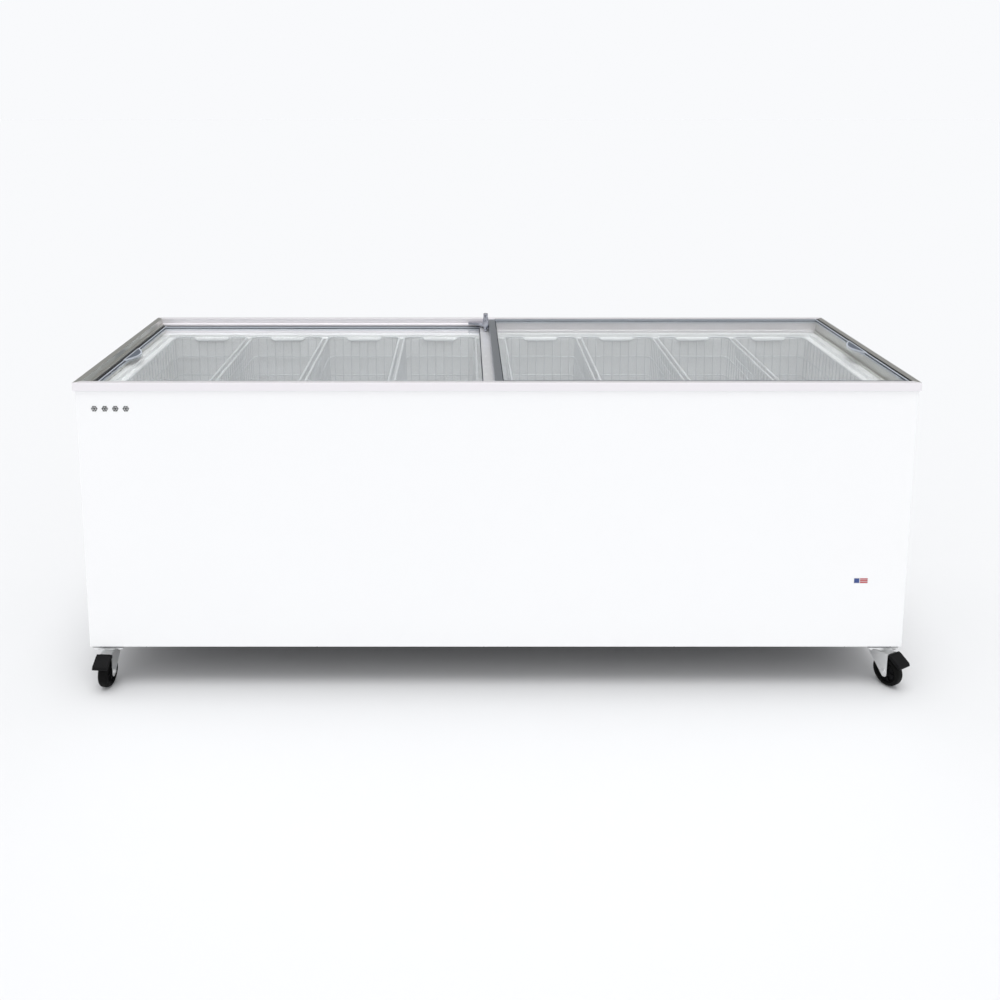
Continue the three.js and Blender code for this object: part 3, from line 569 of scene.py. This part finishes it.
def crystal(size):
    """A six-armed crystal: three crossed bars with a short pair of twigs near each tip."""
    thickness, width = 0.0005, size * 0.085
    bar = block((-size / 2, -width / 2, 0), (size / 2, width / 2, thickness))
    twig = block((0, -width / 2, 0), (size * 0.2, width / 2, thickness))
    shapes = [placed(bar, turn(60 * i, "Z")) for i in range(3)]
    for i in range(6):
        for lean in (-60, 60):
            out = turn(60 * i, "Z") @ Matrix.Translation((size * 0.28, 0, 0)) @ turn(lean, "Z")
            shapes.append(placed(twig, out))
    return shapes


def add_marks():
    """A row of plain freezer stars, and a plain striped sticker."""
    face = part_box("front_panel")[0].y
    upright = turn(90, "X")
    stars = []
    for i in range(STAR_COUNT):
        place = Matrix.Translation((FIRST_STAR[0] + STAR_PITCH * i, face, FIRST_STAR[1])) @ upright
        stars += [placed(shape, place) for shape in crystal(STAR_SIZE)]
    piece("star_badge", "cabinet", BLACK_PLASTIC, *stars, slot="black_plastic")
    sticker = Matrix.Translation((STICKER[0], face, STICKER[1])) @ upright
    base = prism(rounded_rectangle(*STICKER_SIZE, 0.001), 0, 0.0002)
    piece("sticker_base", "cabinet", GREY_PLASTIC, placed(base, sticker), slot="grey_plastic")
    blue = block((-0.0165, -0.0060, 0.0001), (-0.004, 0.0060, 0.0003))
    stripes = (-0.0060, -0.0015, 0.0030)
    red = [block((-0.002, low, 0.0001), (0.0165, low + 0.003, 0.0003)) for low in stripes]
    piece("sticker_blue", "cabinet", BLUE_INK, placed(blue, sticker))
    piece("sticker_red", "cabinet", RED_INK, *[placed(stripe, sticker) for stripe in red])


# ---- Baskets ----
def rim_path(half_x, half_y, height):
    """A rounded rectangle whose two short sides dip inwards and down in the middle."""
    path = []
    steps = 6
    corner_x, corner_y = half_x - RIM_CORNER, half_y - RIM_CORNER
    for facing in (1, -1):
        first = arc((corner_x, corner_y), RIM_CORNER, 0, 90, 5)
        second = arc((-corner_x, corner_y), RIM_CORNER, 90, 180, 5)
        path += [Vector((facing * x, facing * y, height)) for x, y in first]
        for end in (1, -1):
            for i in range(steps + 1):
                share = i / steps if end > 0 else 1 - i / steps
                x = end * (DIP_WIDTH / 2 + DIP_SLOPE * (1 - share))
                ease = share * share * (3 - 2 * share)
                y = half_y - DIP_INWARD * ease
                path.append(Vector((facing * x, facing * y, height - DIP_DEPTH * ease)))
        path += [Vector((facing * x, facing * y, height)) for x, y in second]
    return path


def hanging_wire(half_top, half_bottom, top, bottom):
    """A wire down one wall, across the floor and up the other, as (distance out, height)."""
    centre = (half_bottom - BASKET_FLOOR_BEND, bottom + BASKET_FLOOR_BEND)
    bend = arc(centre, BASKET_FLOOR_BEND, 0, -90, 4)
    right = [(half_top, top), *bend]
    return right + [(-a, b) for a, b in reversed(right)]


def ring_path(half_x, half_y, height):
    corners = rounded_rectangle(2 * half_x, 2 * half_y, RIM_CORNER, 5)
    return [Vector((x, y, height)) for x, y in corners]


def wire_basket(name):
    body = f"basket_{name}"
    lo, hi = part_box(body)
    centre = (lo + hi) / 2
    half_x, half_y = (hi.x - lo.x) / 2, (hi.y - lo.y) / 2
    rim_height = RIM_BOTTOM + RIM_WIRE
    bottom = lo.z + 2 * MESH_WIRE
    wall_x, wall_y = half_x - 2 * RIM_WIRE - WALL_WIRE, BASKET_WALL_Y - WALL_WIRE
    rim = rim_path(half_x - RIM_WIRE, half_y - RIM_WIRE, rim_height)
    shapes = [tube(rim, RIM_WIRE, 10, closed=True)]
    across = hanging_wire(wall_x, wall_x - BASKET_TAPER, rim_height - 0.001, bottom)
    for i in range(ROWS):
        y = (wall_y - 0.022) * (2 * i / (ROWS - 1) - 1)
        shapes.append(tube([Vector((a, y, b)) for a, b in across], MESH_WIRE, 6))
    for i in range(COLUMNS):
        x = (wall_x - 0.016) * (2 * i / (COLUMNS - 1) - 1)
        top = rim_height - (DIP_DEPTH if abs(x) < DIP_WIDTH / 2 else 0.001)
        along = hanging_wire(wall_y, wall_y - BASKET_TAPER, top, bottom + 2 * MESH_WIRE)
        shapes.append(tube([Vector((x, a, b)) for a, b in along], MESH_WIRE, 6))
    for share in WALL_RINGS:
        outward = 1.5 * WALL_WIRE - BASKET_TAPER * share
        height = rim_height + (bottom - rim_height) * share
        ring = ring_path(wall_x + outward, wall_y + outward, height)
        shapes.append(tube(ring, WALL_WIRE, 6, closed=True))
    move = Matrix.Translation((centre.x, centre.y, 0))
    shapes = [placed(shape, move) for shape in shapes]
    piece(f"wire_{body}", body, WIRE, *shapes, slot="coated_wire", replaces=(body,))


# ---- Lids and lock ----
def add_lid_edges_and_shade(name, end, side):
    """Black seal strips let into the lid's outer edges, their black also painted shade of the gap to the
    frame, and a dark pad of painted shade on its finger grip.
    """
    lo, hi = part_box(f"{name}_handle_end")
    runner_lo, runner_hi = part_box(f"{name}_front_runner")
    low, high = runner_hi.z - SUNK, runner_hi.z + EDGE_RISE
    outer = end - side * EDGE_INSET
    strip_x = sorted((outer, outer - side * EDGE_END_WIDTH))
    strips = [block((strip_x[0], lo.y + EDGE_INSET, low), (strip_x[1], hi.y - EDGE_INSET, high))]
    for facing in (-1, 1):
        edge = hi.y - EDGE_INSET
        y = sorted((facing * edge, facing * (edge - EDGE_WIDTH)))
        strips.append(block((runner_lo.x, y[0], low), (runner_hi.x, y[1], high)))
    # The strips' black is partly painted shade of the gap between lid and frame.
    piece(f"{name}_seal_and_gap_shade", name, SEAL_AND_GAP_SHADE, *strips, bevel=0.0004)
    # The pad's dark colour is painted shade under the finger grip.
    root = end - side * PAD_INSET
    steps = 24
    pad = [
        (
            root - side * PAD_REACH * math.sin(math.pi * i / steps),
            PAD_MIDDLE + PAD_HALF * (2 * i / steps - 1),
        )
        for i in range(steps + 1)
    ]
    pad_shape = prism(pad, hi.z - SUNK, hi.z + PAD_RISE)
    piece(f"{name}_grip_shade_pad", name, GRIP_PAINTED_SHADE, pad_shape, bevel=0.0003)


def add_lid(name, stile):
    glass_lo, glass_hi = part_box(f"{name}_glass")
    dress(f"{name}_glass", GLASS, 0.0001, 1)
    dress(f"{name}_stile", stile, 0.0010)
    dress(f"{name}_handle_end", LID_PLASTIC, 0.0012, 3)
    dress(f"{name}_front_runner", LID_PLASTIC, 0.0010)
    dress(f"{name}_rear_runner", LID_PLASTIC, 0.0010)
    lo = Vector((glass_lo.x + BEAD_INSET, glass_lo.y + BEAD_INSET, glass_hi.z + 0.0001))
    hi = Vector((glass_hi.x - BEAD_INSET, glass_hi.y - BEAD_INSET, glass_hi.z + BEAD_RISE))
    piece(f"{name}_bead", name, SEAL, border(lo, hi, BEAD_WIDTH), bevel=0.0006)
    end_lo, end_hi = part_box(f"{name}_handle_end")
    if end_hi.x > 0:
        add_lid_edges_and_shade(name, end_hi.x, 1)
    else:
        add_lid_edges_and_shade(name, end_lo.x, -1)


def add_brush():
    """A brush under the right lid's stile, over the left lid."""
    lo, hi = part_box("right_lid_stile")
    middle = (lo.x + hi.x) / 2
    corner = (middle - BRUSH_WIDTH / 2, lo.y + BRUSH_INSET, lo.z - BRUSH_DROP)
    opposite = (middle + BRUSH_WIDTH / 2, hi.y - BRUSH_INSET, lo.z + 0.0004)
    piece("stile_brush", "right_lid", SEAL_AND_GAP_SHADE, block(corner, opposite), bevel=0.0003)


def add_lock():
    lo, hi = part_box("lock_housing")
    plunger_lo, plunger_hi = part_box("lock_plunger")
    centre = (plunger_lo + plunger_hi) / 2
    at = Matrix.Translation((centre.x, centre.y, 0))
    lug_top = lo.z + LUG_THICKNESS
    reach_x, reach_y = hi.x - lo.x, hi.y - LUG_TAIL - lo.y
    steps = 24
    angles = [math.pi / 2 * i / steps for i in range(steps + 1)]
    fillet = [(lo.x + reach_x * math.sin(a), lo.y + reach_y * math.cos(a)) for a in angles]
    lug = prism([(hi.x, hi.y), (lo.x, hi.y), *fillet], lo.z, lug_top)
    piece("lock_lug", "right_lid", CHROME, lug, slot="lock_chrome", bevel=0.0009, segments=3)
    top = hi.z
    sleeve = [
        (0.0073, lug_top), (0.0092, lug_top), (0.0092, lug_top + 0.002), (0.0088, lug_top + 0.003),
        (0.0081, top - 0.003), (0.0079, top - 0.0006), (0.0076, top), (0.0073, top), (0.0073, lug_top),
    ]
    piece(
        "lock_sleeve", "right_lid", CHROME, placed(turned(sleeve, 64), at),
        slot="lock_chrome", replaces=("lock_housing",),
    )
    low, high = plunger_lo.z, plunger_hi.z
    shoulder, floor = low + PIN_LENGTH, high - SOCKET_DEPTH
    crown = arc((BUTTON - CROWN, high - CROWN), CROWN, 0, 90, 5)
    plunger = [
        (0, low), (PIN - 0.0004, low), (PIN, low + PIN_CHAMFER), (PIN, shoulder), (BUTTON, shoulder),
        *crown, (SOCKET, high), (SOCKET, floor), (0, floor),
    ]
    piece(
        "lock_button", "lock_plunger", CHROME, placed(turned(plunger, 64), at),
        slot="lock_chrome", replaces=("lock_plunger",),
    )
    dress("lock_core", CHROME, 0.0002)


# ---- Machine compartment ----
def add_end_details():
    """Screws in the grille's corners, and plain marks round the thermostat."""
    lo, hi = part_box("compartment_grille")
    inset = GRILLE_SCREW_INSET
    corners = [(y, z) for y in (lo.y + inset, hi.y - inset) for z in (lo.z + inset, hi.z - inset)]
    screws = [s for y, z in corners for s in screw((hi.x, y, z), (1, 0, 0))]
    piece("grille_screws", "cabinet", ZINC, *screws, slot="zinc_steel")
    lo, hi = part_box("thermostat_bezel")
    centre = (lo + hi) / 2
    facing = Matrix.Translation((hi.x, centre.y, centre.z)) @ turn(90, "Z") @ turn(90, "X")
    marks = []
    for i in range(MARK_COUNT):
        outer = MARK_CIRCLE + FIRST_MARK + MARK_GROWTH * i
        mark = block((-MARK_HALF, MARK_CIRCLE, -0.0002), (MARK_HALF, outer, 0.0003))
        marks.append(placed(mark, facing @ turn(135 - 45 * i, "Z")))
    piece("thermostat_marks", "cabinet", BLACK_PAINT, *marks, slot="black_paint")
    lo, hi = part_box("thermostat_knob")
    middle = (lo + hi) / 2
    foot = (hi.x - 0.0002, middle.y - POINTER_HALF, middle.z + 0.002)
    tip = (hi.x + 0.0003, middle.y + POINTER_HALF, hi.z - 0.001)
    piece("knob_pointer", "thermostat_knob", BLACK_PAINT, block(foot, tip), slot="black_paint")


def add_rating_plate():
    """A plain metal plate on the rear, held by four rivets."""
    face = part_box("rear_panel")[1].y
    at = Matrix.Translation((REAR_PLATE[0], face, REAR_PLATE[1])) @ turn(-90, "X")
    plate = prism(rounded_rectangle(*REAR_PLATE_SIZE, 0.003), 0, 0.0005)
    piece("rear_plate", "cabinet", GREY_STILE, placed(plate, at), slot="stile_aluminium")
    rivet = [(0, 0.0004), (0.0018, 0.0004), (0.0012, 0.0013), (0, 0.0015)]
    rivets = [
        placed(turned(rivet, 16), at @ Matrix.Translation((x, y, 0)))
        for x in (-RIVETS_ACROSS, RIVETS_ACROSS) for y in (-RIVETS_UP, RIVETS_UP)
    ]
    piece("rear_plate_rivets", "cabinet", ZINC, *rivets, slot="zinc_steel")


def add_machines():
    dress("compressor", BLACK_PAINT, 0.001)
    dress("condenser_coil", COPPER, 0.0001)
    dress("fan_motor", BLACK_PAINT, 0.0005)
    dress("fan_blade", GREY_PLASTIC, 0.0005)
    dress("compartment_grille", GREY_PLASTIC, 0.0008)
    dress("thermostat_bezel", GREY_PLASTIC, 0.0008)
    dress("thermostat_knob", GREY_PLASTIC, 0.0008)
    dress("cord_gland", BLACK_PLASTIC, 0.0006)
    add_end_details()
    add_rating_plate()


# ---- Castors ----
def castor_matrix(corner):
    """Where a castor's own frame sits: Z is the swivel axis and X runs out towards the wheel."""
    plate_lo, plate_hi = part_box(f"castor_plate_{corner}")
    wheel_lo, wheel_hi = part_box(f"castor_wheel_{corner}")
    swivel = (plate_lo + plate_hi) / 2
    trail = (wheel_lo + wheel_hi) / 2 - swivel
    heading = Matrix.Rotation(math.atan2(trail.y, trail.x), 4, "Z")
    return Matrix.Translation((swivel.x, swivel.y, 0)) @ heading


def add_wheel(corner, place):
    node = f"castor_wheel_{corner}"
    half = WHEEL_HALF
    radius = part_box(node)[1].z / 2
    axle = place @ Matrix.Translation((TRAIL, 0, radius)) @ turn(90, "X")
    crown = arc((radius - 0.008, half - 0.008), 0.008, 90, 0, 8)
    tread = [*crown, *[(r, -z) for r, z in reversed(crown)]]
    tyre = [
        (0.0275, half - 0.0012), (0.029, half), *tread, (0.029, -half), (0.0275, -half + 0.0012),
        (0.0262, -half + 0.003), (0.0262, half - 0.003), (0.0275, half - 0.0012),
    ]
    piece(
        f"tyre_{corner}", f"wheel_{corner}", RUBBER, placed(turned(tyre, WHEEL_STEPS), axle),
        slot="wheel_rubber", replaces=(node,),
    )
    face = [
        (0.00435, half), (0.0105, half), (0.0112, half - 0.0007),
        (0.0120, half - 0.0048), (0.0135, half - 0.0055), (0.0235, half - 0.0055),
        (0.0250, half - 0.0045), (0.0256, half - 0.0010), (0.0264, half - 0.0006),
    ]
    hub = [*face, *[(r, -z) for r, z in reversed(face)], face[0]]
    rib = block((0.0105, -0.001, -half + 0.002), (0.026, 0.001, half - 0.002))
    ribs = [placed(rib, axle @ turn(60 * i, "Z")) for i in range(6)]
    piece(
        f"wheel_hub_{corner}", f"wheel_{corner}", BLACK_PLASTIC,
        placed(turned(hub, WHEEL_STEPS), axle), *ribs, slot="black_plastic",
    )


def fork_saddle():
    """The folded sheet over the wheel: a channel with rounded shoulders, along X."""
    centre = (LEG_OUTSIDE - FORK_BEND, CROWN_TOP - FORK_BEND)
    outer = arc(centre, FORK_BEND, 0, 90, 6)
    inner = arc(centre, FORK_BEND - LEG_SHEET, 90, 0, 6)
    over = [*outer, *[(-a, b) for a, b in reversed(outer)]]
    under = [*[(-a, b) for a, b in reversed(inner)], *inner]
    along_x = Matrix(((0, 0, 1, 0), (1, 0, 0, 0), (0, 1, 0, 0), (0, 0, 0, 1)))
    return placed(prism([*over, *under], FORK_BACK, FORK_FRONT), along_x)


def add_fork(corner, place):
    upright = turn(90, "X")
    axle = Matrix.Translation((TRAIL, 0, AXLE_HEIGHT)) @ upright
    tip = arc((TRAIL, 0.0335), 0.0085, 205, 360, 14)
    shoulder = CROWN_TOP - FORK_BEND
    leg = [(FORK_BACK, shoulder), (FORK_BACK, 0.082), *tip, (FORK_FRONT, shoulder)]
    race = [(0, 0.0880), (0.0205, 0.0880), (0.0205, 0.0902), (0.0170, 0.0920), (0, 0.0920)]
    washer = [(0, 0), (WASHER, 0), (WASHER, WASHER_HEIGHT), (0, WASHER_HEIGHT)]
    nut = arc((0, 0), NUT, 0, 300, 5)
    rod_end = LEG_OUTSIDE + AXLE_PAST
    rod = [(0, -rod_end), (AXLE, -rod_end), (AXLE, rod_end), (0, rod_end)]
    shapes = [fork_saddle(), turned(race, 48), placed(turned(rod, 24), axle)]
    for low in (LEG_INSIDE, -LEG_OUTSIDE):
        shapes.append(placed(prism(leg, low, low + LEG_SHEET), upright))
    for low in (LEG_OUTSIDE, -LEG_OUTSIDE - NUT_HEIGHT):
        shapes.append(placed(prism(nut, low, low + NUT_HEIGHT), axle))
    for low in (LEG_OUTSIDE, -LEG_OUTSIDE - WASHER_HEIGHT):
        shapes.append(placed(turned(washer, 28), axle @ Matrix.Translation((0, 0, low))))
    piece(
        f"fork_{corner}", f"castor_{corner}", ZINC, *[placed(shape, place) for shape in shapes],
        slot="zinc_steel", bevel=0.0004, replaces=(f"castor_fork_{corner}",),
    )


def add_castor(corner):
    place = castor_matrix(corner)
    swivel = Matrix.Translation(place.translation)
    dress(f"castor_plate_{corner}", ZINC, 0.0005)
    bolts = []
    for x in (-PLATE_BOLT_X, PLATE_BOLT_X):
        for y in (-PLATE_BOLT_Y, PLATE_BOLT_Y):
            head = prism(arc((x, y), PLATE_BOLT, 0, 300, 5), 0.0925, PLATE_BOTTOM - 0.0001)
            bolts.append(placed(head, swivel))
    piece(f"plate_bolts_{corner}", "cabinet", ZINC, *bolts, slot="zinc_steel", bevel=0.0004)
    add_fork(corner, place)
    add_wheel(corner, place)
    dress(f"brake_pedal_{corner}", BLACK_PLASTIC, 0.0014, 3)


bpy.context.scene.view_settings.view_transform = "Standard"
add_camera()
add_sky()
add_key_light()
add_floor()
add_cabinet()
add_skin_screws()
add_marks()
for basket in BASKETS:
    wire_basket(basket)
add_lid("left_lid", BRIGHT_STILE)
add_lid("right_lid", GREY_STILE)
add_brush()
add_lock()
add_machines()
for corner in CORNERS:
    add_castor(corner)
